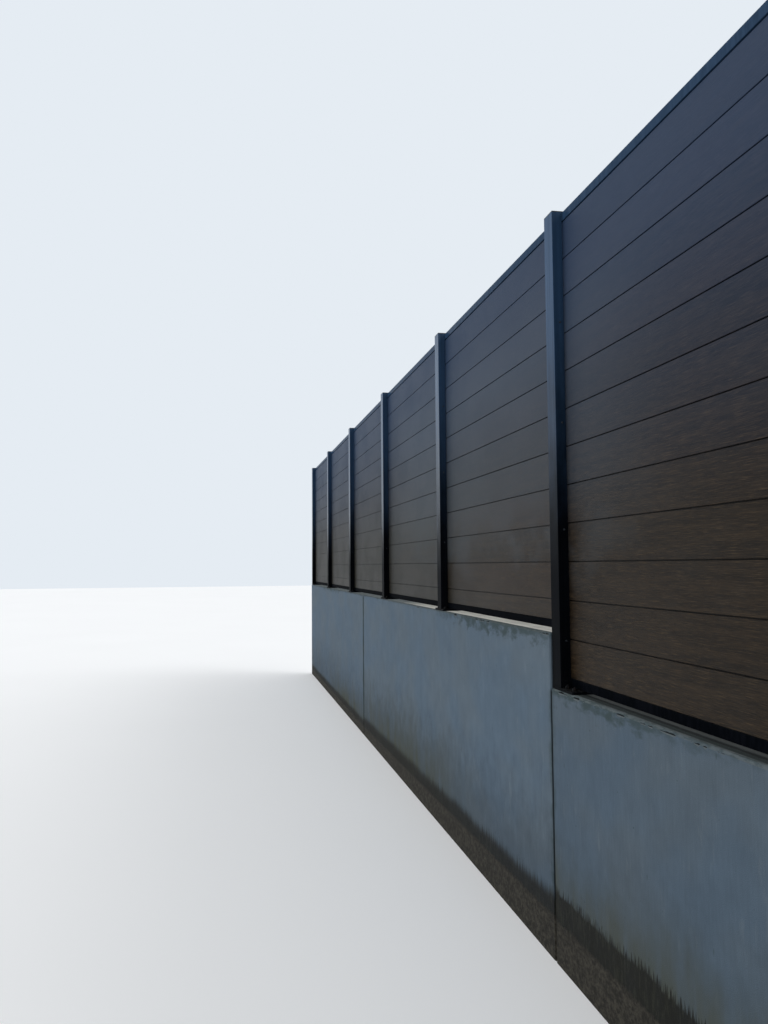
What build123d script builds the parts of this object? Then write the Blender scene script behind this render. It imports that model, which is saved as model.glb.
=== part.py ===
from build123d import *
import os

# Fence of tongue-and-groove composite boards between extruded metal posts, standing on a
# stepped retaining wall of precast concrete elements. Millimetres. X runs along the fence
# towards its low end, Y goes from the open side through the fence, and Z is up. The origin is
# on the underside of the wall, at the middle of its length and of its thickness.

# The run
bay_count = 6
low_bay_count = 1           # bays that stand on the low wall
bay_pitch = 1830.0          # post centre to post centre

# Retaining wall
wall_thickness = 150.0
low_wall_height = 1050.0
wall_step = 215.0           # rise of the wall's top behind the second post
high_element_count = 2
element_joint = 10.0        # open joint between two elements
wall_chamfer = 8.0          # long edges along the top
joint_chamfer = 5.0         # upright edges at the joints
wall_end_margin = 50.0      # wall left past the last base plate at the low end

# Posts: one hollow extrusion with a board slot down each side
post_width = 85.0           # along the fence
post_depth = 104.0          # across the fence
post_wall = 2.5
post_corner = 2.5
slot_depth = 24.0
post_rise = 6.0             # post above the top rail

# Post caps: a flat lid with two plugs that push into the post's chambers
cap_thickness = 4.0
cap_chamfer = 1.2
plug_length = 14.0
plug_wall = 2.0
plug_clearance = 0.4

# Base plates, welded under the posts and bolted to the wall
plate_length = 200.0
plate_lip = 2.0             # plate past the post's front and back
plate_thickness = 10.0
plate_corner = 6.0
plate_setback = 4.0         # plate behind the wall's face

# Boards
board_thickness = 20.0
board_cover = 150.0         # height that one board adds to the panel
low_bay_boards = 12
shadow_gap = 4.0            # recessed line between two boards
shoulder_thickness = 9.0    # what shows at the bottom of the recessed line
tongue_thickness = 6.0
tongue_height = 10.0
tongue_clearance = 0.5
board_chamfer = 1.0
slot_clearance = 0.5        # between a board's face and the slot's wall
board_end_gap = 6.0         # room for a board to grow in the slot
seat_gap = 0.3              # where one piece rests on the next

# Rails under and over the boards
rail_height = 33.0
rail_proud = 3.0            # rail past the face of the boards
rail_wall = 2.0
rail_rib_height = 8.0
rail_corner = 1.0
rail_end_gap = 0.3
plate_to_rail = 4.0         # bottom rail clear of the base plates

# Levels
high_wall_height = low_wall_height + wall_step
rail_above_wall = plate_thickness + plate_to_rail
boards_top = low_wall_height + rail_above_wall + rail_height + low_bay_boards * board_cover
post_top = boards_top + rail_height + post_rise

# Places along the fence: post 1 stands at the low end
plate_end_past_post = (plate_length - post_width) / 2
wall_length = bay_count * bay_pitch + post_width / 2 + plate_length / 2 + wall_end_margin
low_end = wall_length / 2
post_x = [low_end - wall_end_margin - plate_length / 2 - i * bay_pitch for i in range(bay_count + 1)]
step_x = post_x[low_bay_count] - post_width / 2
high_element_pitch = (step_x - (post_x[-1] - post_width / 2)) / high_element_count

# Places across the fence
plate_depth = post_depth + 2 * plate_lip
fence_y = -wall_thickness / 2 + plate_setback + plate_depth / 2

# Fits
slot_width = board_thickness + 2 * slot_clearance
groove_width = tongue_thickness + 2 * tongue_clearance
groove_depth = tongue_height + 2 * tongue_clearance
clear_opening = bay_pitch - post_width
board_length = clear_opening + 2 * (slot_depth - board_end_gap)
rail_length = clear_opening - 2 * rail_end_gap
rail_width = board_thickness + 2 * rail_proud

ON_BASE = (Align.CENTER, Align.MIN)


def wall_element(near_x, far_x, height):
    """Upright precast slab with its top edges and the edges of its ends bevelled."""
    slab = Pos((near_x + far_x) / 2, 0, 0) * Box(
        near_x - far_x, wall_thickness, height, align=(Align.CENTER, Align.CENTER, Align.MIN)
    )
    upright = slab.edges().filter_by(Axis.Z)
    slab = chamfer(upright, joint_chamfer)
    long_top_edges = slab.faces().sort_by(Axis.Z)[-1].edges().filter_by(Axis.X)
    return chamfer(long_top_edges, wall_chamfer)


def chamber_sizes():
    """Length and width of the post's front and back chambers, and their distance off centre."""
    inner = slot_width / 2 + post_wall
    outer = post_depth / 2 - post_wall
    return post_width - 2 * post_wall, outer - inner, (outer + inner) / 2


def post_profile():
    """Section of the post: two outer chambers, a web chamber and a slot at each side."""
    chamber_length, chamber_width, chamber_offset = chamber_sizes()
    profile = RectangleRounded(post_width, post_depth, post_corner)
    for side in (-1, 1):
        profile -= Pos(side * (post_width - slot_depth) / 2, 0) * Rectangle(slot_depth, slot_width)
        profile -= Pos(0, side * chamber_offset) * Rectangle(chamber_length, chamber_width)
    profile -= Rectangle(post_width - 2 * (slot_depth + post_wall), slot_width)
    return profile


def post(x, foot_z):
    """Post from its base plate up to just above the top rail."""
    start = foot_z + plate_thickness
    return Pos(x, fence_y, start) * extrude(post_profile(), amount=post_top - start)


def post_cap(x):
    """Flat lid with a bevelled rim and a hollow plug for each outer chamber."""
    lid = extrude(RectangleRounded(post_width, post_depth, post_corner), amount=cap_thickness)
    lid = chamfer(lid.faces().sort_by(Axis.Z)[-1].edges(), cap_chamfer)
    chamber_length, chamber_width, chamber_offset = chamber_sizes()
    plug_size = (chamber_length - 2 * plug_clearance, chamber_width - 2 * plug_clearance)
    ring = Rectangle(*plug_size) - Rectangle(*(size - 2 * plug_wall for size in plug_size))
    for side in (-1, 1):
        lid += Pos(0, side * chamber_offset, 0) * extrude(ring, amount=-plug_length)
    return Pos(x, fence_y, post_top) * lid


def base_plate(x, foot_z):
    """Plate with rounded corners on the wall's top, under the post."""
    plate = extrude(RectangleRounded(plate_length, plate_depth, plate_corner), amount=plate_thickness)
    return Pos(x, fence_y, foot_z) * plate


def board_profile(cover):
    """Section of a board: groove below, and above it a recessed shoulder with the tongue."""
    face_height = cover - shadow_gap
    profile = Rectangle(board_thickness, face_height, align=ON_BASE)
    profile = chamfer(profile.vertices(), board_chamfer)
    shoulder_top = cover - seat_gap
    shoulder = Rectangle(shoulder_thickness, shadow_gap - seat_gap, align=ON_BASE)
    tongue = Rectangle(tongue_thickness, tongue_height, align=ON_BASE)
    profile += Pos(0, face_height) * shoulder
    profile += Pos(0, shoulder_top) * tongue
    return profile - Rectangle(groove_width, groove_depth, align=ON_BASE)


def along_fence(profile, x, z, length):
    """Profile drawn across the fence, run for a length along it about x."""
    return Pos(x - length / 2, fence_y, z) * extrude(Plane.YZ * profile, amount=length)


def boards(x, panel_bottom):
    """Boards of one bay, stacked down from the top rail, the lowest cut to what is left."""
    whole_board = board_profile(board_cover)
    stack = []
    top = boards_top
    while top - panel_bottom >= board_cover:
        top -= board_cover
        stack.append(along_fence(whole_board, x, top, board_length))
    if top > panel_bottom:
        cut_board = board_profile(top - panel_bottom)
        stack.append(along_fence(cut_board, x, panel_bottom, board_length))
    return Compound(children=stack)


def bottom_rail_profile():
    """Hollow rail with a rib on top that enters the groove of the lowest board."""
    outer = RectangleRounded(rail_width, rail_height - seat_gap, rail_corner)
    tube = outer - offset(outer, amount=-rail_wall)
    rib = Rectangle(tongue_thickness, rail_rib_height, align=ON_BASE)
    tube = Pos(0, (rail_height - seat_gap) / 2) * tube
    return tube + Pos(0, rail_height - seat_gap) * rib


def top_rail_profile():
    """Hollow rail with a groove below that covers the tongue of the topmost board."""
    outer = RectangleRounded(rail_width, rail_height, rail_corner)
    chamber_height = rail_height - groove_depth - 2 * rail_wall
    chamber = Rectangle(rail_width - 2 * rail_wall, chamber_height, align=ON_BASE)
    profile = Pos(0, rail_height / 2) * outer
    profile -= Rectangle(groove_width, groove_depth, align=ON_BASE)
    return profile - Pos(0, groove_depth + rail_wall) * chamber


def save(solid, name):
    export_step(solid, f"parts/{name}.step")


os.makedirs("parts", exist_ok=True)

save(wall_element(low_end, step_x, low_wall_height), "wall_element_low")
high_names = ["wall_element_high_near", "wall_element_high_far"]
for i in range(high_element_count):
    near_x = step_x - i * high_element_pitch - element_joint
    far_x = step_x - (i + 1) * high_element_pitch
    name = high_names[i] if i < len(high_names) else f"wall_element_high_{i + 1}"
    save(wall_element(near_x, far_x, high_wall_height), name)

# The plate of a post at a step is pushed back from the edge, so that it stays on its own element
plate_shift = plate_end_past_post
for i, x in enumerate(post_x):
    on_low_wall = i <= low_bay_count
    foot_z = low_wall_height if on_low_wall else high_wall_height
    at_edge = i in (low_bay_count, bay_count)
    plate_x = x + plate_shift if at_edge else x
    save(base_plate(plate_x, foot_z), f"base_plate_{i + 1}")
    save(post(x, foot_z), f"post_{i + 1}")
    save(post_cap(x), f"post_cap_{i + 1}")

for i in range(bay_count):
    middle_x = (post_x[i] + post_x[i + 1]) / 2
    wall_top = low_wall_height if i < low_bay_count else high_wall_height
    rail_z = wall_top + rail_above_wall
    save(along_fence(bottom_rail_profile(), middle_x, rail_z, rail_length), f"bottom_rail_{i + 1}")
    save(boards(middle_x, rail_z + rail_height), f"boards_bay_{i + 1}")
    save(along_fence(top_rail_profile(), middle_x, boards_top, rail_length), f"top_rail_{i + 1}")
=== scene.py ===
import math
import random
from types import SimpleNamespace

import bmesh
import bpy
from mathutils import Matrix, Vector, noise


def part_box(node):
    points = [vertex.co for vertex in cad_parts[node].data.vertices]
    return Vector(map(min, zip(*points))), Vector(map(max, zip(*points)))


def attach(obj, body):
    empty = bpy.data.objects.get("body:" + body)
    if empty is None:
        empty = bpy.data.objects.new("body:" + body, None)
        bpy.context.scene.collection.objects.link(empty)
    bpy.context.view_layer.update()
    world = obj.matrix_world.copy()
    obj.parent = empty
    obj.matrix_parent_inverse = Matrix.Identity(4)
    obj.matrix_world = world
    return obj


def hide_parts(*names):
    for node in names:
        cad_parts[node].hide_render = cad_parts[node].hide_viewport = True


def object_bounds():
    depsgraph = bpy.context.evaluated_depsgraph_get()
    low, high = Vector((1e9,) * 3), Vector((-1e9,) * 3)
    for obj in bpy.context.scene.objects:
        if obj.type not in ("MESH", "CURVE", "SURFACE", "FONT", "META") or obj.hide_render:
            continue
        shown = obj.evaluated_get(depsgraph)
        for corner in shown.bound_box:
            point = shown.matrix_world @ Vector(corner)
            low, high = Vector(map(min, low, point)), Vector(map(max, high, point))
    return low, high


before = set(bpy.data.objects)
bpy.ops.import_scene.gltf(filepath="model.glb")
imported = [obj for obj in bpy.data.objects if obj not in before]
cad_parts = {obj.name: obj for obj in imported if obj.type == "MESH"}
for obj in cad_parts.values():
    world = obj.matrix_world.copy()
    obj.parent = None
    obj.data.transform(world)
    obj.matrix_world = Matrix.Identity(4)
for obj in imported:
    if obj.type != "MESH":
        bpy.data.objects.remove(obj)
cad_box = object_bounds()


# Retaining wall elements. Precast concrete slabs, cast against steel forms and set side by side with
# an open joint. Rain and algae have run down from their tops, soil has marked their feet, and the
# arrises were chipped in handling.
arris_bevel = 0.008
end_bevel = 0.005
below_arris = (0.0, 0.0015, 0.003, 0.005, 0.007, 0.010, 0.014, 0.020, 0.032)
bevel_steps = 4
face_rows = 12
station_gap = 0.0025
stations_skipped = 10
face_unevenness = 0.0009
swells_per_metre = (1.3, 9, 1.7)
nick_length = 0.010
nick_depth = 0.0026
spall_extra_length = 0.05
spall_extra_depth = 0.005
chip_fullness = 0.4
chip_raggedness = 0.4
rags_per_metre = (85, 1, 50)
chip_roughness = 0.0010
grit_per_metre = (210, 240, 240)
whole_chip = 0.0012                     # past this depth a chip shows nothing but its stone
chip_slope = math.radians(22.5)         # how steeply a chip cuts down into the arris
into_face = math.cos(chip_slope)
into_bevel = math.sin(chip_slope)
sharp_edge = math.radians(28)


def slab_profile(half_thickness, top):
    """Points (y, z) round the slab, from the front foot over the top to the back foot."""
    shoulder = top - arris_bevel
    flat_face = shoulder - below_arris[-1]
    side = [(half_thickness, flat_face * row / face_rows) for row in range(face_rows)]
    side += [(half_thickness, shoulder - step) for step in reversed(below_arris)]
    for step in range(1, bevel_steps):
        climb = arris_bevel * step / bevel_steps
        side.append((half_thickness - climb, shoulder + climb))
    side += [(half_thickness - arris_bevel - step, top) for step in below_arris]
    front = [(-y, z) for y, z in side]
    return front + [(0.0, top)] + side[::-1]


def random_chips(draw, far_x, near_x, count):
    """Chips (middle, length, depth) scattered along an arris: many small nicks and a few spalls."""
    chips = []
    for _ in range(count):
        size = draw.random() ** 3
        middle = draw.uniform(far_x, near_x)
        length = nick_length + spall_extra_length * size
        depth = nick_depth + spall_extra_depth * size
        chips.append((middle, length, depth))
    return chips


def noise_at(point, per_metre):
    """Noise from -1 to 1 at a point, with so many blots a metre along each axis."""
    return noise.noise(Vector([place * count for place, count in zip(point, per_metre)]))


def chip_depth(chips, x):
    """How far round the bevel's lower edge the concrete is broken out at x."""
    depth = 0.0
    for middle, length, deepest in chips:
        along = (x - middle) / (length / 2)
        if abs(along) < 1:
            ragged = 1 + chip_raggedness * noise_at((x, middle, deepest), rags_per_metre)
            depth = max(depth, deepest * ragged * (1 - along * along) ** chip_fullness)
    return depth


def slab_stations(far_x, near_x, chips):
    """Places of the slab's cross sections, close together at the chips and wide apart between."""
    count = math.ceil((near_x - far_x) / station_gap)
    stations = []
    for i in range(count + 1):
        x = far_x + (near_x - far_x) * i / count
        at_chip = any(abs(x - middle) < length / 2 + station_gap for middle, length, _ in chips)
        if at_chip or i % stations_skipped == 0 or i == count:
            stations.append(x)
    return stations


def skin(ring, count):
    """Faces over count equal rings of points, one after another, with both ends closed."""
    faces = []
    for i in range(count - 1):
        for j in range(ring):
            after = (j + 1) % ring
            faces.append((i * ring + j, i * ring + after, (i + 1) * ring + after, (i + 1) * ring + j))
    faces.append(tuple(range(ring)))
    faces.append(tuple(range((count - 1) * ring, count * ring)))
    return faces


def mesh_piece(name, points, faces, marks=None):
    """An object of closed forms, smooth but for its sharp edges. Each mark keeps a number a point."""
    mesh = bpy.data.meshes.new(name)
    mesh.from_pydata(points, [], faces)
    for mark, numbers in (marks or {}).items():
        mesh.attributes.new(mark, "FLOAT", "POINT").data.foreach_set("value", numbers)
    shell = bmesh.new()
    shell.from_mesh(mesh)
    bmesh.ops.recalc_face_normals(shell, faces=shell.faces)
    shell.to_mesh(mesh)
    shell.free()
    mesh.shade_smooth()
    mesh.set_sharp_from_angle(angle=sharp_edge)
    piece = bpy.data.objects.new(name, mesh)
    bpy.context.scene.collection.objects.link(piece)
    return piece


def wall_slab(name, node, front_chips, back_chips):
    """The slab of a node with bevelled ends, slightly uneven faces and its chips."""
    low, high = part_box(node)
    half_thickness, top = high.y, high.z
    profile = slab_profile(half_thickness, top)
    inner = slab_stations(low.x + end_bevel, high.x - end_bevel, front_chips + back_chips)
    stations = [low.x] + inner + [high.x]
    points = []
    broken = []
    for x in stations:
        widest = half_thickness - (end_bevel if x in (low.x, high.x) else 0.0)
        depths = {-1: chip_depth(front_chips, x), 1: chip_depth(back_chips, x)}
        for y, z in profile:
            side = -1 if y < 0 else 1
            swell = 0.5 + 0.5 * noise_at((x, y, z), swells_per_metre)
            across = min(abs(y), widest)
            if abs(y) == half_thickness:
                across -= face_unevenness * swell
            from_edge = math.hypot(half_thickness - across, z - (top - arris_bevel))
            cut = max(0.0, depths[side] - from_edge)
            if cut > 0:
                cut = max(0.0, cut + chip_roughness * noise_at((x, y, z), grit_per_metre))
            points.append((x, side * (across - cut * into_face), z - cut * into_bevel))
            broken.append(min(1.0, cut / whole_chip))
    return mesh_piece(name, points, skin(len(profile), len(stations)), {"broken": broken})


class Value:
    """A socket of a material. An expression on it adds its Math nodes."""

    def __init__(self, socket):
        self.socket = socket

    def node(self, kind, settings, sockets, output=0):
        """Adds a node to this material: settings first, then its sockets' values or links."""
        tree = self.socket.id_data
        node = tree.nodes.new(kind)
        for key, setting in settings.items():
            setattr(node, key, setting)
        for key, given in sockets.items():
            if isinstance(given, Value):
                tree.links.new(given.socket, node.inputs[key])
            else:
                node.inputs[key].default_value = given
        return Value(node.outputs[output]) if node.outputs else None

    def beside(self, output):
        """Another output of the same node."""
        return Value(self.socket.node.outputs[output])

    def math(self, operation, first, second=0.0):
        return self.node("ShaderNodeMath", {"operation": operation}, {0: first, 1: second})

    def __add__(self, other):
        return self.math("ADD", self, other)

    def __sub__(self, other):
        return self.math("SUBTRACT", self, other)

    def __rsub__(self, other):
        return self.math("SUBTRACT", other, self)

    def __mul__(self, other):
        return self.math("MULTIPLY", self, other)

    def __truediv__(self, other):
        return self.math("DIVIDE", self, other)

    def __abs__(self):
        return self.math("ABSOLUTE", self)

    __radd__ = __add__
    __rmul__ = __mul__


def paint(red, green, blue):
    """A colour as it looks on screen, 0 to 255, in the linear values that a shader takes."""
    shares = [channel / 255 for channel in (red, green, blue)]
    linear = [s / 12.92 if s <= 0.04045 else ((s + 0.055) / 1.055) ** 2.4 for s in shares]
    return (*linear, 1.0)


def new_finish(name):
    """A new material, and the place of each of its points in the fence's frame, in metres."""
    material = bpy.data.materials.new(name)
    material.use_nodes = True
    material.node_tree.nodes.clear()
    place = Value(material.node_tree.nodes.new("ShaderNodeTexCoord").outputs["Object"])
    return material, place


def axis(place, letter):
    return place.node("ShaderNodeSeparateXYZ", {}, {"Vector": place}, letter)


def rise(value, low, high):
    """0 up to low, 1 past high, and a soft step between them."""
    settings = {"interpolation_type": "SMOOTHSTEP"}
    sockets = {"Value": value, "From Min": low, "From Max": high}
    return value.node("ShaderNodeMapRange", settings, sockets, "Result")


def spread(place, size, seed):
    """Places counted in blots of size (x, y, z) metres."""
    counts = [1 / length for length in size]
    settings = {"operation": "MULTIPLY_ADD"}
    return place.node("ShaderNodeVectorMath", settings, {0: place, 1: counts, 2: (seed, seed, seed)})


def clouds(place, size, seed=0.0, detail=2.0):
    """Soft noise about 0.5, with blots of size (x, y, z) metres."""
    sockets = {"Vector": spread(place, size, seed), "Scale": 1.0, "Detail": detail, "Roughness": 0.6}
    return place.node("ShaderNodeTexNoise", {}, sockets)


def pits(place, size, seed, share, radius):
    """Round or long pits, 1 in their middle, in a share of the cells of size (x, y, z) metres."""
    sockets = {"Vector": spread(place, size, seed), "Scale": 1.0}
    distance = place.node("ShaderNodeTexVoronoi", {}, sockets, "Distance")
    luck = axis(distance.beside("Color"), "X")
    return rise(rise(luck, 1 - share, 1.0) * radius - distance, 0.0, radius * 0.4)


def mix(factor, under, over):
    """The colour over laid on the colour under."""
    return factor.node("ShaderNodeMix", {"data_type": "RGBA"}, {0: factor, 6: under, 7: over}, 2)


def shade(colour, strength):
    """A colour made lighter or darker."""
    vector = colour if isinstance(colour, Value) else colour[:3]
    return strength.node("ShaderNodeVectorMath", {"operation": "SCALE"}, {0: vector, 3: strength})


def surface(place, colour, roughness, height, **fixed):
    """Ends a material: its colour, its roughness and its relief, as a height in metres."""
    normal = place.node("ShaderNodeBump", {}, {"Strength": 1.0, "Distance": 1.0, "Height": height})
    sockets = {"Base Color": colour, "Roughness": roughness, "Normal": normal}
    shader = place.node("ShaderNodeBsdfPrincipled", {}, {**sockets, **fixed})
    place.node("ShaderNodeOutputMaterial", {}, {"Surface": shader})


concrete_cool = paint(84, 100, 115)
concrete_warm = paint(92, 102, 109)
concrete_pale = paint(120, 130, 136)
algae = paint(48, 60, 60)
ochre = paint(64, 67, 58)
soil_damp = paint(17, 17, 14)
damp_green = paint(45, 47, 37)
soil_clod = paint(34, 32, 28)
soil_dry = paint(60, 57, 50)
joint_shade = paint(20, 22, 23)
# Painted light and shade on the tops: the rail's shadow, the sunlit strip behind it and sunlight on a
# near stretch
rail_shadow = paint(17, 21, 20)
sun_under_rail = paint(69, 72, 71)
sunlit_top = paint(214, 213, 205)
chip_shadow = paint(12, 13, 14)
chip_stone = paint(86, 94, 98)
rail_shadow_line = -0.024                      # where across the top the rail's shadow is painted
sun_strip_front = (-0.019, -0.012)
sun_strip_back = (0.020, 0.010)


def casting_grain(place, seed):
    """The mottling of one casting, from large to small, which the marks on it follow."""
    return SimpleNamespace(
        large=clouds(place, (0.9, 0.9, 0.5), seed),
        medium=clouds(place, (0.09, 0.09, 0.11), seed + 3, 5.0),
        fine_runs=clouds(place, (0.009, 0.009, 0.10), seed + 5, 3.0),
        sand=clouds(place, (0.0025, 0.0025, 0.0025), seed, 2.0),
    )


def bare_concrete(place, seed, grain, brightness):
    """Clean concrete in cool and warm greys, with a pale bloom of lime."""
    broad_runs = clouds(place, (0.06, 0.06, 0.6), seed + 7, 2.0)
    tone = 0.18 * grain.large + 0.34 * grain.medium + 0.22 * grain.fine_runs
    tone = tone + 0.10 * broad_runs + 0.24 * grain.sand
    hue = rise(clouds(place, (0.5, 0.5, 0.35), seed + 11), 0.35, 0.65)
    colour = mix(0.5 * hue, concrete_cool, concrete_warm)
    bloom = rise(clouds(place, (0.03, 0.03, 0.12), seed + 13, 5.0), 0.58, 0.75)
    colour = mix(0.22 * bloom, colour, concrete_pale)
    return shade(colour, brightness * (tone + 0.46))


def algae_film(colour, place, seed, top, reach, wet_x):
    """Algae in blots under the top, thickest in the wettest stretch."""
    wettest = rise(abs(axis(place, "X") - wet_x), 1.3, 0.3)
    blots = clouds(place, (0.09, 0.09, 0.04), seed + 17, 5.0)
    wetness = blots + 0.14 * wettest - (top - axis(place, "Z")) * (0.5 / reach)
    return mix(rise(wetness, 0.36, 0.62) * (0.18 + 0.62 * wettest), colour, algae)


def dirt_at_joints(colour, place, seed, grain):
    """Dirt washed out of the joints, in patches and in a narrow band, and painted shade inside them."""
    x, z = axis(place, "X"), axis(place, "Z")
    patches = rise(clouds(place, (3.0, 3.0, 0.10), seed + 21, 3.0), 0.42, 0.62)
    for joint_x, joint_top, stain in joints:
        from_joint = abs(x - joint_x)
        below_top = rise(z, joint_top, joint_top - 0.02)
        ragged = from_joint + 0.05 * (grain.medium - 0.5) + 0.03 * (grain.fine_runs - 0.5)
        washed = 0.3 * patches * rise(from_joint, 0.055, 0.01) + stain * rise(ragged, 0.036, 0.012)
        colour = mix(washed * below_top, colour, algae)
        # Painted shade: the faces inside each open joint are darkened to nearly black
        inside = rise(from_joint, joint_reach, joint_reach - 0.0035)
        colour = mix(0.88 * inside * below_top, colour, joint_shade)
    return colour


def foot_marks(colour, place, seed, grain, above_soil, splashed, middle, half_length, mark_height):
    """The rain's splashes over the soil, and brownish marks about a middle."""
    wavering = grain.medium - 0.5
    colour = shade(colour, 1 - splashed * rise(above_soil + 0.3 * wavering, 0.60, 0.05))
    along = rise(abs(axis(place, "X") - middle), half_length, half_length * 0.2)
    mark_tops = mark_height * (0.5 + clouds(place, (0.4, 0.4, 1.0), seed + 31, 3.0))
    runnels = rise(clouds(place, (0.11, 0.11, 0.8), seed + 49, 3.0), 0.34, 0.60)
    marks = rise(above_soil + 0.12 * wavering, mark_tops, 0.0) * (0.50 + 0.5 * runnels) * along
    return mix(marks, colour, ochre)


def drawn_up_damp(colour, place, seed, grain, above_soil, damp_height, softness, spike_height):
    """Damp drawn up from the soil, with a spiky edge and specks over it, and where it is."""
    swell = clouds(place, (0.3, 0.3, 3.0), seed + 29, 2.0)
    spikes = rise(clouds(place, (0.0038, 0.0038, 0.3), seed + 23, 2.0), 0.40, 0.68)
    edge = damp_height * (0.75 + 0.5 * swell) + spike_height * spikes
    damp = rise(above_soil, edge + softness, edge - softness)
    green = rise(clouds(place, (0.010, 0.010, 0.05), seed + 35, 4.0), 0.48, 0.66)
    damp_colour = mix(0.45 * green, soil_damp, damp_green)
    damp_colour = shade(damp_colour, 0.3 + 0.8 * grain.medium + 0.6 * grain.fine_runs)
    colour = mix(0.94 * damp, colour, damp_colour)
    specks = pits(place, (0.012, 0.012, 0.03), seed + 33, 0.5, 0.25)
    specks = specks * rise(above_soil, edge + 0.09, edge)
    return mix(0.6 * specks, colour, soil_damp), damp


def stuck_soil(colour, place, seed, above_soil):
    """Soil that sticks to the foot where the wall stood in it, and how far it stands out in metres."""
    crust = clouds(place, (0.022, 0.022, 0.016), seed + 37, 6.0)
    crumbs = clouds(place, (0.006, 0.006, 0.005), seed + 39, 3.0)
    buried = rise(above_soil + 0.07 * (crust - 0.5), 0.010, -0.004)
    clods = 0.7 * crust + 0.3 * crumbs
    soil_colour = mix(rise(clods, 0.42, 0.62), soil_clod, soil_dry)
    colour = mix(0.9 * buried, colour, shade(soil_colour, 0.7 + 0.6 * crumbs))
    return colour, 0.006 * buried * clods


def top_face(place, seed, grain, half_thickness, top, sunlit_stretch):
    """The top, with the rail's shadow painted on it, and painted sunlight under the fence and on a near
    stretch.
    """
    middle_colour, edge_colour, edge_width, rail_light_and_shade = top
    sunlit_share, sunlit_from, sunlit_to = sunlit_stretch
    streaks = clouds(place, (0.4, 0.01, 0.4), seed + 43, 4.0)
    y = axis(place, "Y") + 0.008 * (streaks - 0.5)
    edge_start = half_thickness - edge_width
    at_edge = rise(abs(y), edge_start - 0.004, edge_start + 0.002)
    # Sunlight painted on the top's near stretch, much paler than the concrete itself
    sunlit = sunlit_share * rise(axis(place, "X") + 0.8 * (grain.large - 0.5), sunlit_from, sunlit_to)
    colour = mix(at_edge, mix(sunlit, middle_colour, sunlit_top), edge_colour)
    # A painted sunlit strip under the fence, behind the rail's shadow
    sun_under_rail_mask = rail_light_and_shade * rise(y, *sun_strip_front) * rise(y, *sun_strip_back)
    colour = mix(sun_under_rail_mask, colour, sun_under_rail)
    # The rail's shadow, painted as a dark wavering line across the top
    shadow_waver = clouds(place, (0.05, 0.02, 0.02), seed + 45, 4.0)
    from_shadow_line = abs(y - rail_shadow_line) - 0.02 * (shadow_waver - 0.5)
    colour = mix(rail_light_and_shade * rise(from_shadow_line, 0.011, 0.004), colour, rail_shadow)
    colour = shade(colour, 0.3 + 0.8 * streaks + 0.6 * grain.medium)
    lichen = rise(clouds(place, (0.04, 0.012, 0.012), seed + 47, 5.0), 0.44, 0.6)
    return mix(0.65 * lichen * at_edge, colour, algae)


def concrete(name, node, seed, soil, damp, ochre_marks, algae_marks, top, sunlit_stretch, splashed, brightness):
    """Concrete of one element, with what the soil, the rain and the moulds left on it.

    soil is how high the soil stood at the far and the near end. damp is the height, the softness and
    the spikes of the dark edge over it, and ochre_marks the middle, the half length and the height of
    the brownish marks. algae_marks is the depth that they reach down and the place of the wettest
    stretch. top is the colour of the top's middle, that of its edges, how wide those are, and how
    strong the painted shadow of the rail and the painted sunlit strip behind it are. The argument after
    it is how strongly sunlight is painted on the top's near stretch, and between which places that
    begins. splashed is how much the rain's splashes darken the foot.
    """
    low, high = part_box(node)
    material, place = new_finish(name)
    x, z = axis(place, "X"), axis(place, "Z")
    facing = axis(place.node("ShaderNodeNewGeometry", {}, {}, "Normal"), "Z")
    span = {"Value": x, "From Min": low.x, "From Max": high.x, "To Min": soil[0], "To Max": soil[1]}
    above_soil = z - place.node("ShaderNodeMapRange", {}, span, "Result")

    grain = casting_grain(place, seed)
    colour = bare_concrete(place, seed, grain, brightness)
    colour = algae_film(colour, place, seed, high.z, *algae_marks)
    colour = dirt_at_joints(colour, place, seed, grain)
    colour = foot_marks(colour, place, seed, grain, above_soil, splashed, *ochre_marks)
    colour, damp_share = drawn_up_damp(colour, place, seed, grain, above_soil, *damp)
    colour, soil_thickness = stuck_soil(colour, place, seed, above_soil)
    colour = mix(rise(facing, 0.4, 0.9), colour, top_face(place, seed, grain, high.y, top, sunlit_stretch))

    # Air holes of the casting and scuffs are dark, and a chip has painted shade where it faces down
    holes = pits(place, (0.035, 0.035, 0.035), seed, 0.4, 0.11)
    scuffs = pits(place, (0.04, 0.04, 0.13), seed + 41, 0.5, 0.12)
    colour = mix(0.6 * holes, colour, algae)
    colour = mix(0.55 * scuffs, colour, algae)
    broken = place.node("ShaderNodeAttribute", {"attribute_name": "broken"}, {}, "Fac")
    chip_shaded_below = mix(rise(facing, -0.1, 0.5), chip_shadow, chip_stone)
    colour = mix(broken, colour, shade(chip_shaded_below, 0.5 + grain.sand))

    height = 0.0012 * grain.sand + 0.0006 * grain.medium + 0.0003 * grain.fine_runs - 0.0016 * holes
    roughness = 0.88 + 0.1 * grain.sand - 0.1 * damp_share
    surface(place, colour, roughness, height + soil_thickness, **{"Specular IOR Level": 0.12})
    return material


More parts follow.
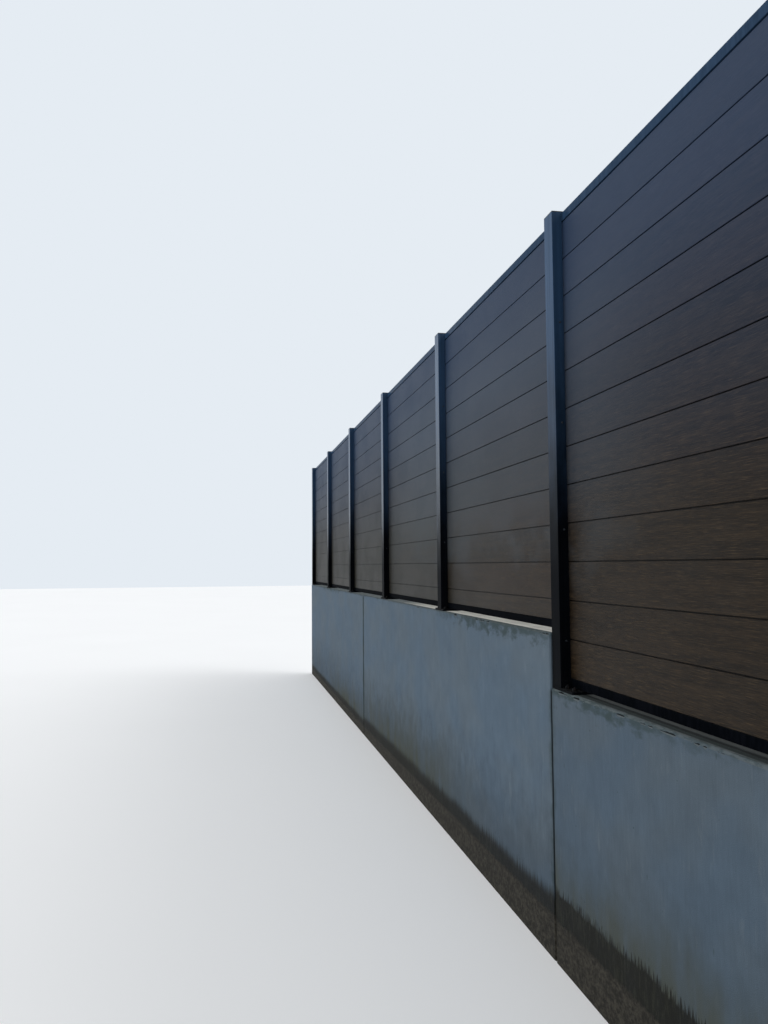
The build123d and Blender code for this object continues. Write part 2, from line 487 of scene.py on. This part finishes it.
wall = [
    {
        "node": "wall_element_low",
        "piece": "low_wall_slab",
        "finish": {
            "soil": (0.160, 0.205), "damp": (0.102, 0.006, 0.034), "ochre_marks": (4.1, 1.9, 0.44),
            # The low top's dark middle is partly dirt and partly painted shade from the fence
            "algae_marks": (0.10, 3.75), "top": (paint(43, 49, 49), paint(90, 97, 99), 0.019, 0.85),
            "sunlit_stretch": (0.0, 0.0, 1.0), "splashed": 0.15, "brightness": 0.75,
        },
        "chips": [
            (3.68, 0.030, 0.0040), (4.16, 0.060, 0.0052), (4.36, 0.034, 0.0046), (4.47, 0.085, 0.0056),
            (4.62, 0.030, 0.0050), (4.66, 0.020, 0.0046), (5.10, 0.050, 0.0050),
        ],
        "nicks": 26,
    },
    {
        "node": "wall_element_high_near",
        "piece": "high_wall_slab_near",
        "finish": {
            "soil": (0.075, 0.165), "damp": (0.075, 0.030, 0.030), "ochre_marks": (0.5, 2.4, 0.56),
            "algae_marks": (0.13, 2.8), "top": (paint(118, 125, 126), paint(78, 84, 84), 0.019, 0.10),
            "sunlit_stretch": (1.0, 0.5, 1.3), "splashed": 0.32, "brightness": 0.90,
        },
        "chips": [(-0.93, 0.05, 0.0060), (1.22, 0.06, 0.0056), (2.75, 0.05, 0.0052)],
        "nicks": 40,
    },
    {
        "node": "wall_element_high_far",
        "piece": "high_wall_slab_far",
        "finish": {
            "soil": (0.075, 0.075), "damp": (0.050, 0.020, 0.025), "ochre_marks": (-2.0, 1.8, 0.34),
            "algae_marks": (0.07, -3.4), "top": (paint(112, 120, 121), paint(74, 81, 82), 0.015, 0.10),
            "sunlit_stretch": (0.0, 0.0, 1.0), "splashed": 0.32, "brightness": 0.90,
        },
        "chips": [(-1.10, 0.04, 0.0056), (-2.6, 0.06, 0.0060)],
        "nicks": 40,
    },
]
joint_stains = (0.3, 0.95)              # how much dirt has washed out of each joint
joints = []
for nearer, farther, stain in zip(wall, wall[1:], joint_stains):
    near_low, near_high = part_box(nearer["node"])
    far_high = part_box(farther["node"])[1]
    joints.append(((near_low.x + far_high.x) / 2, near_high.z, stain))
# The joints are alike: this is how far their bevels reach from the middle
joint_reach = (near_low.x - far_high.x) / 2 + end_bevel

draw = random.Random(7)
for i, element in enumerate(wall):
    low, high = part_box(element["node"])
    front_chips = element["chips"] + random_chips(draw, low.x, high.x, element["nicks"])
    back_chips = random_chips(draw, low.x, high.x, element["nicks"])
    slab = wall_slab(element["piece"], element["node"], front_chips, back_chips)
    finish = concrete(f"concrete_{i + 1}", element["node"], i * 50.0, **element["finish"])
    slab.data.materials.append(finish)
    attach(slab, "root")
    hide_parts(element["node"])


# Joint strips. Black foam rope, a little dusty, pressed into each open joint well behind the face,
# where it keeps the soil from washing through.
strip_front = -0.020
strip_back = 0.015
strip_squeeze = 0.0004
strip_foot = 0.004
strip_below_top = 0.02
strip_corners = 12


def joint_strip(name, far_x, near_x, top):
    """A strip with a bulging front and back, a little narrower than its joint."""
    middle = (far_x + near_x) / 2
    half_width = (near_x - far_x) / 2 - strip_squeeze
    outline = []
    for side, centre_y in ((-1, strip_front), (1, strip_back)):
        for step in range(strip_corners + 1):
            turn = math.pi * step / strip_corners
            across = side * half_width * math.cos(turn)
            outline.append((middle - across, centre_y + side * half_width * math.sin(turn)))
    ends = (strip_foot, top)
    points = [(x, y, z) for z in ends for x, y in outline]
    return mesh_piece(name, points, skin(len(outline), len(ends)))


foam, place = new_finish("foam_rope")
cells = clouds(place, (0.002, 0.002, 0.002), 1.0, 2.0)
dust = rise(clouds(place, (0.02, 0.02, 0.06), 4.0, 3.0), 0.45, 0.65)
surface(
    place,
    mix(0.5 * dust, paint(26, 27, 28), paint(70, 66, 58)),
    0.9 - 0.05 * cells,
    0.0008 * cells,
)
for i in range(len(joints)):
    near_low, near_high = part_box(wall[i]["node"])
    far_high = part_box(wall[i + 1]["node"])[1]
    strip = joint_strip(f"joint_strip_{i + 1}", far_high.x, near_low.x, near_high.z - strip_below_top)
    strip.data.materials.append(foam)
    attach(strip, "root")


# Posts, base plates and rails. Steel and aluminium sections in black powder coat, satin and faintly
# pebbled, with dust on what faces up and dried splashes near the wall. Towards the top the weather
# has chalked the coat, and blue sky light is painted over the chalk, most on the fronts and backs.
coat_black = paint(3, 5, 8)
coat_worn = paint(9, 11, 16)
coat_chalk_and_sky = paint(52, 79, 110)
coat_dust = paint(72, 71, 67)


def powder_coat(name, run_length, splash_from, splash_height, sheen, gloss, chalk_and_sky_share, seed):
    """Black powder coat with faint runs of rain along it, dusty above and splashed below.

    gloss is how much shine it has kept on its front and back, well above the splashes; past the first
    bays it has kept more. The next argument is how far the weather has greyed it at the top, with blue
    sky light painted over that, most on the front and back.
    """
    material, place = new_finish(name)
    z = axis(place, "Z")
    pebble = clouds(place, (0.0016, 0.0016, 0.0016), seed, 1.0)
    runs = clouds(place, (0.012, 0.012, run_length), seed + 2, 3.0)
    wear = clouds(place, (0.09, 0.09, 0.2), seed + 4, 4.0)
    colour = mix(rise(0.5 * runs + 0.5 * wear, 0.42, 0.64), coat_black, coat_worn)
    facing = place.node("ShaderNodeNewGeometry", {}, {}, "Normal")
    outward = rise(abs(axis(facing, "Y")), 0.5, 0.9)
    # Chalk with blue sky light painted over it, growing towards the top and strongest on fronts and backs
    chalk_and_sky = rise(z + 0.5 * (wear - 0.5), 1.6, 2.7) * (0.35 + 0.5 * runs) * (1 + 0.3 * outward)
    colour = mix(chalk_and_sky_share * chalk_and_sky, colour, coat_chalk_and_sky)
    farther = rise(axis(place, "X"), 3.2, 2.2)
    shine = gloss * (1 + 0.9 * farther) * (0.35 + 0.65 * outward) * (0.3 + 1.2 * runs)
    shine = shine * rise(z + 0.3 * (wear - 0.5), 1.45, 2.15)
    drops = rise(clouds(place, (0.004, 0.004, 0.006), seed + 6, 3.0), 0.54, 0.68)
    splash = drops * rise(z, splash_from + splash_height, splash_from)
    colour = mix(0.16 * splash, colour, coat_dust)
    upward = rise(axis(facing, "Z"), 0.5, 0.9)
    settled = upward * rise(clouds(place, (0.02, 0.02, 0.02), seed + 8, 4.0), 0.3, 0.7)
    colour = mix(0.25 * settled, colour, coat_dust)
    roughness = 0.42 + 0.16 * wear + 0.12 * runs + 0.25 * settled + 0.2 * splash
    glaze = {"Specular IOR Level": sheen, "Coat Weight": shine, "Coat Roughness": 0.15}
    surface(place, colour, roughness, 0.00006 * pebble, **glaze)
    return material


post_count = sum(1 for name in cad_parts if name.startswith("post_cap_"))
bay_count = post_count - 1
low_wall_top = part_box("wall_element_low")[1].z
high_wall_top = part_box("wall_element_high_near")[1].z
near_wall_top = 0.05        # what stands less than this above a wall's top stands on that wall


def assign(node, material):
    """Gives a node of the frame its finish."""
    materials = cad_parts[node].data.materials
    materials.clear()
    materials.append(material)


for foot_z, height_name, seed in ((low_wall_top, "low", 3.0), (high_wall_top, "high", 23.0)):
    upright_coat = powder_coat(
        f"post_coat_{height_name}", run_length=0.8, splash_from=foot_z, splash_height=0.16,
        sheen=0.015, gloss=0.34, chalk_and_sky_share=1.0, seed=seed,
    )
    level_coat = powder_coat(
        f"rail_coat_{height_name}", run_length=0.05, splash_from=foot_z, splash_height=0.03,
        sheen=0.003, gloss=0.12, chalk_and_sky_share=0.64, seed=seed + 40,
    )
    for i in range(1, post_count + 1):
        if abs(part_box(f"base_plate_{i}")[0].z - foot_z) < near_wall_top:
            assign(f"post_{i}", upright_coat)
            assign(f"base_plate_{i}", upright_coat)
    for i in range(1, bay_count + 1):
        if abs(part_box(f"bottom_rail_{i}")[0].z - foot_z) < near_wall_top:
            assign(f"bottom_rail_{i}", level_coat)
            assign(f"top_rail_{i}", level_coat)


# Anchor bolts. Threaded rods set in the wall, each with a washer and a nut on the base plate, of
# blackened steel with a first bloom of rust. They stand where the plate reaches past its post.
rod_radius = 0.005
rod_proud = 0.005
thread_pitch = 0.0015
thread_depth = 0.0007
thread_rings = 18
rod_chamfer = 0.0004
rod_end_radius = rod_radius - thread_depth * 1.6
nut_flat = 0.0085
nut_height = 0.0084
nut_chamfer = 0.0008
nut_chamfer_radius = nut_flat * 1.02
nut_mouth = 0.0008
nut_mouth_depth = 0.0006
washer_radius = 0.0105
washer_thickness = 0.002
washer_chamfer = 0.0004
bolt_offset_y = 0.034
bolt_end_distance = 0.024
room_for_bolt = 0.03
turn_steps = 36


def turned(rings):
    """Points and faces of a closed turned form: rings are (height, function of the angle)."""
    points = []
    for height, radius in rings:
        for step in range(turn_steps):
            angle = 2 * math.pi * step / turn_steps
            reach = radius(angle)
            points.append(Vector((reach * math.cos(angle), reach * math.sin(angle), height)))
    return points, skin(turn_steps, len(rings))


def circle(radius):
    return lambda angle: radius


def hexagon(flat, most):
    """A hexagon with its corners turned down to a circle of radius most."""
    def reach(angle):
        off_flat = (angle % (math.pi / 3)) - math.pi / 6
        return min(flat / math.cos(off_flat), most)
    return reach


def thread(height):
    """The rod's round at a height of its thread, which climbs one pitch a turn."""
    def reach(angle):
        phase = (height / thread_pitch - angle / (2 * math.pi)) % 1
        return rod_radius - thread_depth * abs(2 * phase - 1)
    return reach


def anchor_bolt():
    """One washer, nut and rod end, standing on z = 0."""
    nut_top = washer_thickness + nut_height
    corner = nut_flat / math.cos(math.pi / 6)
    rings = [
        (0.0, circle(washer_radius)),
        (washer_thickness - washer_chamfer, circle(washer_radius)),
        (washer_thickness, circle(washer_radius - washer_chamfer)),
        (washer_thickness, hexagon(nut_flat, nut_chamfer_radius)),
        (washer_thickness + nut_chamfer, hexagon(nut_flat, corner)),
        (nut_top - nut_chamfer, hexagon(nut_flat, corner)),
        (nut_top, hexagon(nut_flat, nut_chamfer_radius)),
        (nut_top, circle(rod_radius + nut_mouth)),
        (nut_top - nut_mouth_depth, circle(rod_radius)),
    ]
    for step in range(thread_rings + 1):
        height = rod_proud * step / thread_rings
        rings.append((nut_top - rod_chamfer + height, thread(height)))
    rings.append((nut_top + rod_proud + rod_chamfer, circle(rod_end_radius)))
    return turned(rings)


def many(name, forms):
    """One piece from many closed forms, each given as its points and faces."""
    points, faces = [], []
    for form_points, form_faces in forms:
        start = len(points)
        points += form_points
        faces += [tuple(start + index for index in face) for face in form_faces]
    return mesh_piece(name, points, faces)


black_steel, place = new_finish("blackened_steel")
mottling = clouds(place, (0.004, 0.004, 0.004), 2.0, 3.0)
rust = rise(clouds(place, (0.012, 0.012, 0.012), 9.0, 4.0), 0.56, 0.7)
colour = mix(rise(mottling, 0.4, 0.62), paint(9, 10, 12), paint(19, 20, 22))
surface(
    place,
    mix(0.45 * rust, colour, paint(46, 31, 23)),
    0.5 + 0.2 * mottling + 0.2 * rust,
    0.00008 * mottling + 0.0001 * rust,
    **{"Specular IOR Level": 0.06},
)

bolt_points, bolt_faces = anchor_bolt()
for i in range(1, post_count + 1):
    plate_low, plate_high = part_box(f"base_plate_{i}")
    post_low, post_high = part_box(f"post_{i}")
    middle_y = (plate_low.y + plate_high.y) / 2
    places = []
    if post_low.x - plate_low.x > room_for_bolt:
        places.append(plate_low.x + bolt_end_distance)
    if plate_high.x - post_high.x > room_for_bolt:
        places.append(plate_high.x - bolt_end_distance)
    # A plate that is flush with its post's far side has all its bolts on the near side
    if len(places) == 1:
        places.append(post_high.x + bolt_end_distance)
    forms = []
    for x in places:
        for side in (-1, 1):
            foot = Vector((x, middle_y + side * bolt_offset_y, plate_high.z))
            forms.append(([foot + point for point in bolt_points], bolt_faces))
    bolts = many(f"anchor_bolts_{i}", forms)
    bolts.data.materials.append(black_steel)
    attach(bolts, "root")


# Weld beads. The post is welded to its plate along each side that the plate reaches past, under the
# coat, in small overlapping ripples.
bead_radius = 0.0030
bead_from_corner = 0.006
bead_start = 0.35           # share of the radius at a bead's ends
bead_run_in = 0.004
ripple_gap = 0.0022
ripple_depth = 0.15
steps_a_ripple = 4
arc_steps = 6


def weld_bead(x, side, from_y, to_y, z):
    """A ripple-faced fillet along y in the corner between a post's side and its plate."""
    count = int((to_y - from_y) / (ripple_gap / steps_a_ripple))
    points = []
    for i in range(count + 1):
        y = from_y + (to_y - from_y) * i / count
        from_end = min(y - from_y, to_y - y)
        taper = min(1.0, bead_start + from_end / bead_run_in)
        ripple = 1 - ripple_depth + ripple_depth * abs(math.sin(math.pi * y / ripple_gap))
        reach = bead_radius * taper * ripple
        for step in range(arc_steps + 1):
            turn = math.pi / 2 * step / arc_steps
            points.append(Vector((x + side * reach * math.cos(turn), y, z + reach * math.sin(turn))))
        points.append(Vector((x, y, z)))
    return points, skin(arc_steps + 2, count + 1)


for i in range(1, post_count + 1):
    plate_low, plate_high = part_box(f"base_plate_{i}")
    post_low, post_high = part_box(f"post_{i}")
    from_y = post_low.y + bead_from_corner
    to_y = post_high.y - bead_from_corner
    forms = []
    for x, side, room in (
        (post_low.x, -1, post_low.x - plate_low.x),
        (post_high.x, 1, plate_high.x - post_high.x),
    ):
        if room > bead_radius * 2:
            forms.append(weld_bead(x, side, from_y, to_y, plate_high.z))
    beads = many(f"weld_beads_{i}", forms)
    beads.data.materials.append(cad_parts[f"post_{i}"].data.materials[0])
    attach(beads, "root")


# Side screws. Small pan-head screws of dulled grey steel with a six-lobed recess, driven into the
# posts' sides near their front and back.
screw_heights = (0.19, 0.62, 1.04, 1.44)        # above the low wall
screw_from_face = 0.026
screw_above_foot = 0.05
head_radius = 0.0042
head_height = 0.0024
head_round = 0.0016
head_rim = 0.35             # share of the height that stands straight under the dome
dome_steps = 6
recess_radius = 0.0019
recess_depth = 0.0014
recess_taper = 0.85
lobe_depth = 0.14


def lobed(radius):
    return lambda angle: radius * (1 + lobe_depth * math.cos(6 * angle))


def screw_head():
    """A pan head standing on z = 0, with its recess."""
    rings = [(0.0, circle(head_radius))]
    for step in range(dome_steps + 1):
        turn = math.pi / 2 * step / dome_steps
        radius = head_radius - head_round * (1 - math.cos(turn))
        rings.append((head_height * (head_rim + (1 - head_rim) * math.sin(turn)), circle(radius)))
    rings.append((head_height, lobed(recess_radius)))
    rings.append((head_height - recess_depth, lobed(recess_radius * recess_taper)))
    return turned(rings)


screw_steel, place = new_finish("screw_steel")
dulled = clouds(place, (0.003, 0.003, 0.003), 3.0, 3.0)
colour = mix(rise(dulled, 0.4, 0.62), paint(27, 31, 37), paint(42, 47, 54))
surface(place, colour, 0.42 + 0.2 * dulled, 0.00004 * dulled, **{"Specular IOR Level": 0.3})

screw_points, screw_faces = screw_head()
for i in range(1, post_count + 1):
    post_low, post_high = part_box(f"post_{i}")
    forms = []
    for height in screw_heights:
        z = low_wall_top + height
        if z < post_low.z + screw_above_foot:
            continue
        for x, side in ((post_low.x, -1), (post_high.x, 1)):
            # The last post's far side is the end of the run
            if x + side * head_height < cad_box[0].x:
                continue
            for y in (post_low.y + screw_from_face, post_high.y - screw_from_face):
                turned_out = [Vector((x + side * p.z, y + side * p.x, z + p.y)) for p in screw_points]
                forms.append((turned_out, screw_faces))
    screws = many(f"side_screws_{i}", forms)
    screws.data.materials.append(screw_steel)
    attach(screws, "root")


# Post caps. Moulded black plastic lids pushed into the tops of the posts, finely grained, duller than
# the coat, greyed by the sun and dusty.
cap_plastic, place = new_finish("cap_plastic")
texture = clouds(place, (0.0009, 0.0009, 0.0009), 5.0, 1.0)
faded = rise(clouds(place, (0.05, 0.05, 0.05), 8.0, 3.0), 0.4, 0.65)
facing = place.node("ShaderNodeNewGeometry", {}, {}, "Normal")
upward = rise(axis(facing, "Z"), 0.4, 0.9)
specks = rise(clouds(place, (0.008, 0.008, 0.008), 12.0, 4.0), 0.5, 0.7)
colour = mix(0.6 * faded, paint(20, 22, 25), paint(40, 42, 44))
surface(
    place,
    mix(0.45 * upward * specks, colour, coat_dust),
    0.55 + 0.15 * faded + 0.1 * upward,
    0.0001 * texture,
)
for i in range(1, post_count + 1):
    assign(f"post_cap_{i}", cap_plastic)


# Boards. Extruded wood composite, embossed with a shallow grain along the board, each a little lighter
# or darker than the next. The sun has greyed the upper ones, with a blue sky reflection painted over
# them, a pale painted reflection lies halfway up the nearer bays, and over the high wall a thin green
# film has grown.
board_cover = 0.150
row_margin = 0.0001         # share of a row, so that a board's underside isn't split between two
face_off_middle = 0.0095
groove_off_middle = 0.0075
board_dark = paint(17, 13, 9)
board_brown = paint(40, 32, 22)
board_light = paint(74, 61, 44)
board_warm = paint(66, 46, 30)
board_grey = paint(72, 73, 72)
board_film = paint(27, 36, 35)
board_bleached_sky_reflection = paint(41, 63, 92)
board_reflection = paint(98, 113, 126)
groove_shade = paint(8, 7, 7)
rail_low, rail_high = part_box("top_rail_1")
boards_top = rail_low.z
boards_middle_y = (rail_low.y + rail_high.y) / 2
far_post_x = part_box(f"post_{post_count}")[0].x
bay_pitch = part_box("post_1")[0].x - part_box("post_2")[0].x

composite, place = new_finish("board_composite")
x, z = axis(place, "X"), axis(place, "Z")
row = place.math("FLOOR", (boards_top - z) / board_cover + row_margin)
bay = place.math("FLOOR", (x - far_post_x) / bay_pitch)
number = place.node("ShaderNodeCombineXYZ", {}, {"X": row, "Y": bay, "Z": 3.0})
luck = place.node("ShaderNodeTexWhiteNoise", {"noise_dimensions": "3D"}, {"Vector": number}, "Value")
other_luck = axis(luck.beside("Color"), "Y")
# The pattern of each board starts at another place along it
start = 7.3 * luck + 2.0 * row
shifted = place.node("ShaderNodeCombineXYZ", {}, {"X": x + start, "Y": axis(place, "Y"), "Z": z})

figure = clouds(shifted, (0.5, 0.3, 0.022), 1.0, 3.0)
grain = clouds(shifted, (0.075, 0.3, 0.0022), 4.0, 4.0)
fibres = clouds(shifted, (0.028, 0.3, 0.0009), 7.0, 3.0)
strokes = rise(clouds(shifted, (0.045, 0.3, 0.0032), 11.0, 2.0), 0.58, 0.72)
tone = 0.3 * figure + 0.55 * grain + 0.35 * fibres
colour = mix(rise(tone, 0.5, 0.7), board_dark, board_brown)
colour = mix(0.60 * rise(grain, 0.54, 0.71), colour, board_light)
colour = mix(0.90 * strokes, colour, board_dark)
colour = shade(colour, 0.88 + 0.24 * luck)
colour = mix(0.08 * rise(other_luck, 0.55, 1.0) + 0.10 * figure, colour, board_warm)
weather = rise(clouds(place, (0.5, 0.5, 0.35), 21.0, 4.0), 0.42, 0.66)
colour = mix(0.08 * weather, colour, board_grey)
colour = mix(0.35 * rise(x + 0.4 * (weather - 0.5), 3.2, 1.0), colour, board_film)
# The upper boards are greyed by the sun, with a blue sky reflection painted over them
bleached_sky_reflection = rise(z + 0.12 * (luck - 0.5), 1.6, 3.0)
colour = mix(bleached_sky_reflection * (0.44 + 0.40 * grain), colour, board_bleached_sky_reflection)
# A pale reflection painted halfway up the nearer bays
reflection_band = rise(z + 0.2 * (weather - 0.5), 1.45, 1.8) * rise(z, 2.85, 2.4)
colour = mix(0.14 * reflection_band * rise(x, 4.6, 3.4) * rise(x, -0.4, 1.4), colour, board_reflection)
# Painted shade in the seams between the boards, weaker towards the top
off_middle = abs(axis(place, "Y") - boards_middle_y)
in_groove = rise(off_middle, face_off_middle, groove_off_middle)
colour = mix((0.85 - 0.75 * bleached_sky_reflection) * in_groove, colour, groove_shade)
height = 0.0005 * grain + 0.0002 * fibres - 0.00035 * strokes
surface(place, colour, 0.38 + 0.14 * grain + 0.06 * weather, height, **{"Specular IOR Level": 0.065})
for i in range(1, bay_count + 1):
    assign(f"boards_bay_{i}", composite)


# Floor. A plain studio floor under the wall's foot, painted a pale grey that is nearly white, and
# matte, so that it shows the object's soft shadow.
floor_reach = 60.0
floor_mesh = bpy.data.meshes.new("floor")
floor_mesh.from_pydata(
    [(-floor_reach, -floor_reach, 0), (floor_reach, -floor_reach, 0), (floor_reach, floor_reach, 0),
     (-floor_reach, floor_reach, 0)],
    [],
    [(0, 1, 2, 3)],
)
floor = bpy.data.objects.new("floor", floor_mesh)
bpy.context.scene.collection.objects.link(floor)
floor_paint, place = new_finish("floor_paint")
surface(
    place,
    mix(clouds(place, (3.0, 3.0, 3.0), 2.0), paint(243, 244, 245), paint(247, 248, 249)),
    0.9 + 0.05 * clouds(place, (1.0, 1.0, 1.0), 5.0),
    0.0001 * clouds(place, (0.05, 0.05, 0.05)),
)
floor_mesh.materials.append(floor_paint)


# Light. An even studio that lights every side, with a paler backdrop where the camera or something
# glossy sees it, a broad soft lamp from the open side and a weaker one from behind.
lamp_spread = math.radians(35)
studio = bpy.data.worlds.new("studio")
studio.use_nodes = True
studio.node_tree.nodes.clear()
path = Value(studio.node_tree.nodes.new("ShaderNodeLightPath").outputs["Is Camera Ray"])
seen = path.math("MINIMUM", path + path.beside("Is Glossy Ray") + path.beside("Is Transmission Ray"), 1.0)
backdrop = path.node("ShaderNodeBackground", {}, {"Color": paint(229, 236, 243), "Strength": 1.0})
fill = path.node("ShaderNodeBackground", {}, {"Color": (0.68, 0.69, 0.70, 1.0), "Strength": 1.0})
either = path.node("ShaderNodeMixShader", {}, {0: seen, 1: fill, 2: backdrop})
path.node("ShaderNodeOutputWorld", {}, {"Surface": either})
bpy.context.scene.world = studio

for name, towards, strength in (
    ("open_side_lamp", (0.35, 0.75, -0.56), 1.2),
    ("back_lamp", (-0.30, -0.65, -0.70), 0.5),
):
    lamp = bpy.data.lights.new(name, "SUN")
    lamp.energy = strength
    lamp.angle = lamp_spread
    holder = bpy.data.objects.new(name, lamp)
    holder.rotation_euler = Vector(towards).to_track_quat("-Z", "Y").to_euler()
    bpy.context.scene.collection.objects.link(holder)


# Camera. It stands in front of the fence, a little past its low end and level with the lower boards,
# and looks along it, slightly upwards.
camera_place = (6.8139, -1.3548, 1.5373)
camera_tilt = math.radians(93.5202)
camera_lean = math.radians(0.4292)
camera_heading = math.radians(79.3194)
lens_length = 30.31
sensor_width = 36.0
sight_limit = 300.0
camera = bpy.data.cameras.new("camera")
camera.lens = lens_length
camera.sensor_width = sensor_width
camera.clip_end = sight_limit
viewer = bpy.data.objects.new("camera", camera)
viewer.location = camera_place
viewer.rotation_euler = (camera_tilt, camera_lean, camera_heading)
bpy.context.scene.collection.objects.link(viewer)
bpy.context.scene.camera = viewer
bpy.context.scene.view_settings.view_transform = "Standard"
